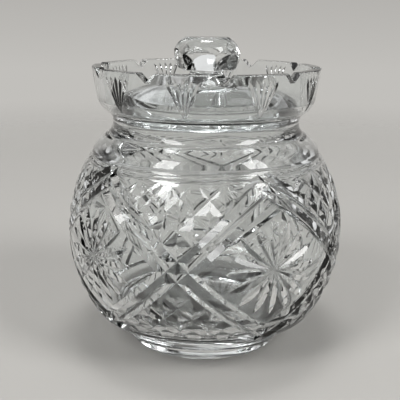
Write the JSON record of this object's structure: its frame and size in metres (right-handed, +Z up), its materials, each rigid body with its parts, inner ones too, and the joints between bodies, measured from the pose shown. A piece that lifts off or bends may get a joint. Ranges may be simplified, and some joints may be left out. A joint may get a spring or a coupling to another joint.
{
  "type": "covered biscuit jar",
  "caption": "Round cut-glass jar with a notched collar, and a domed lift-off lid with a faceted knob.",
  "frame": {"origin": "middle of the foot's underside, on the plane the jar stands on", "axes": "+Z up along the jar's turning axis; -Y is the front, +X to the right seen from there"},
  "size_m": [0.15, 0.15, 0.1628],
  "materials": {
    "jar_glass": "polished cut lead crystal",
    "lid_glass": "polished lead crystal",
    "knob_glass": "polished faceted lead crystal"
  },
  "bodies": {
    "jar": {"jar": "jar_glass"},
    "lid": {"lid": "lid_glass", "lid_knob": "knob_glass"}
  },
  "joints": [
    {"name": "lid_lift", "type": "slide", "parent": "jar", "child": "lid", "axis": [0, 0, 1], "range_m": [0, 0.06]}
  ]
}
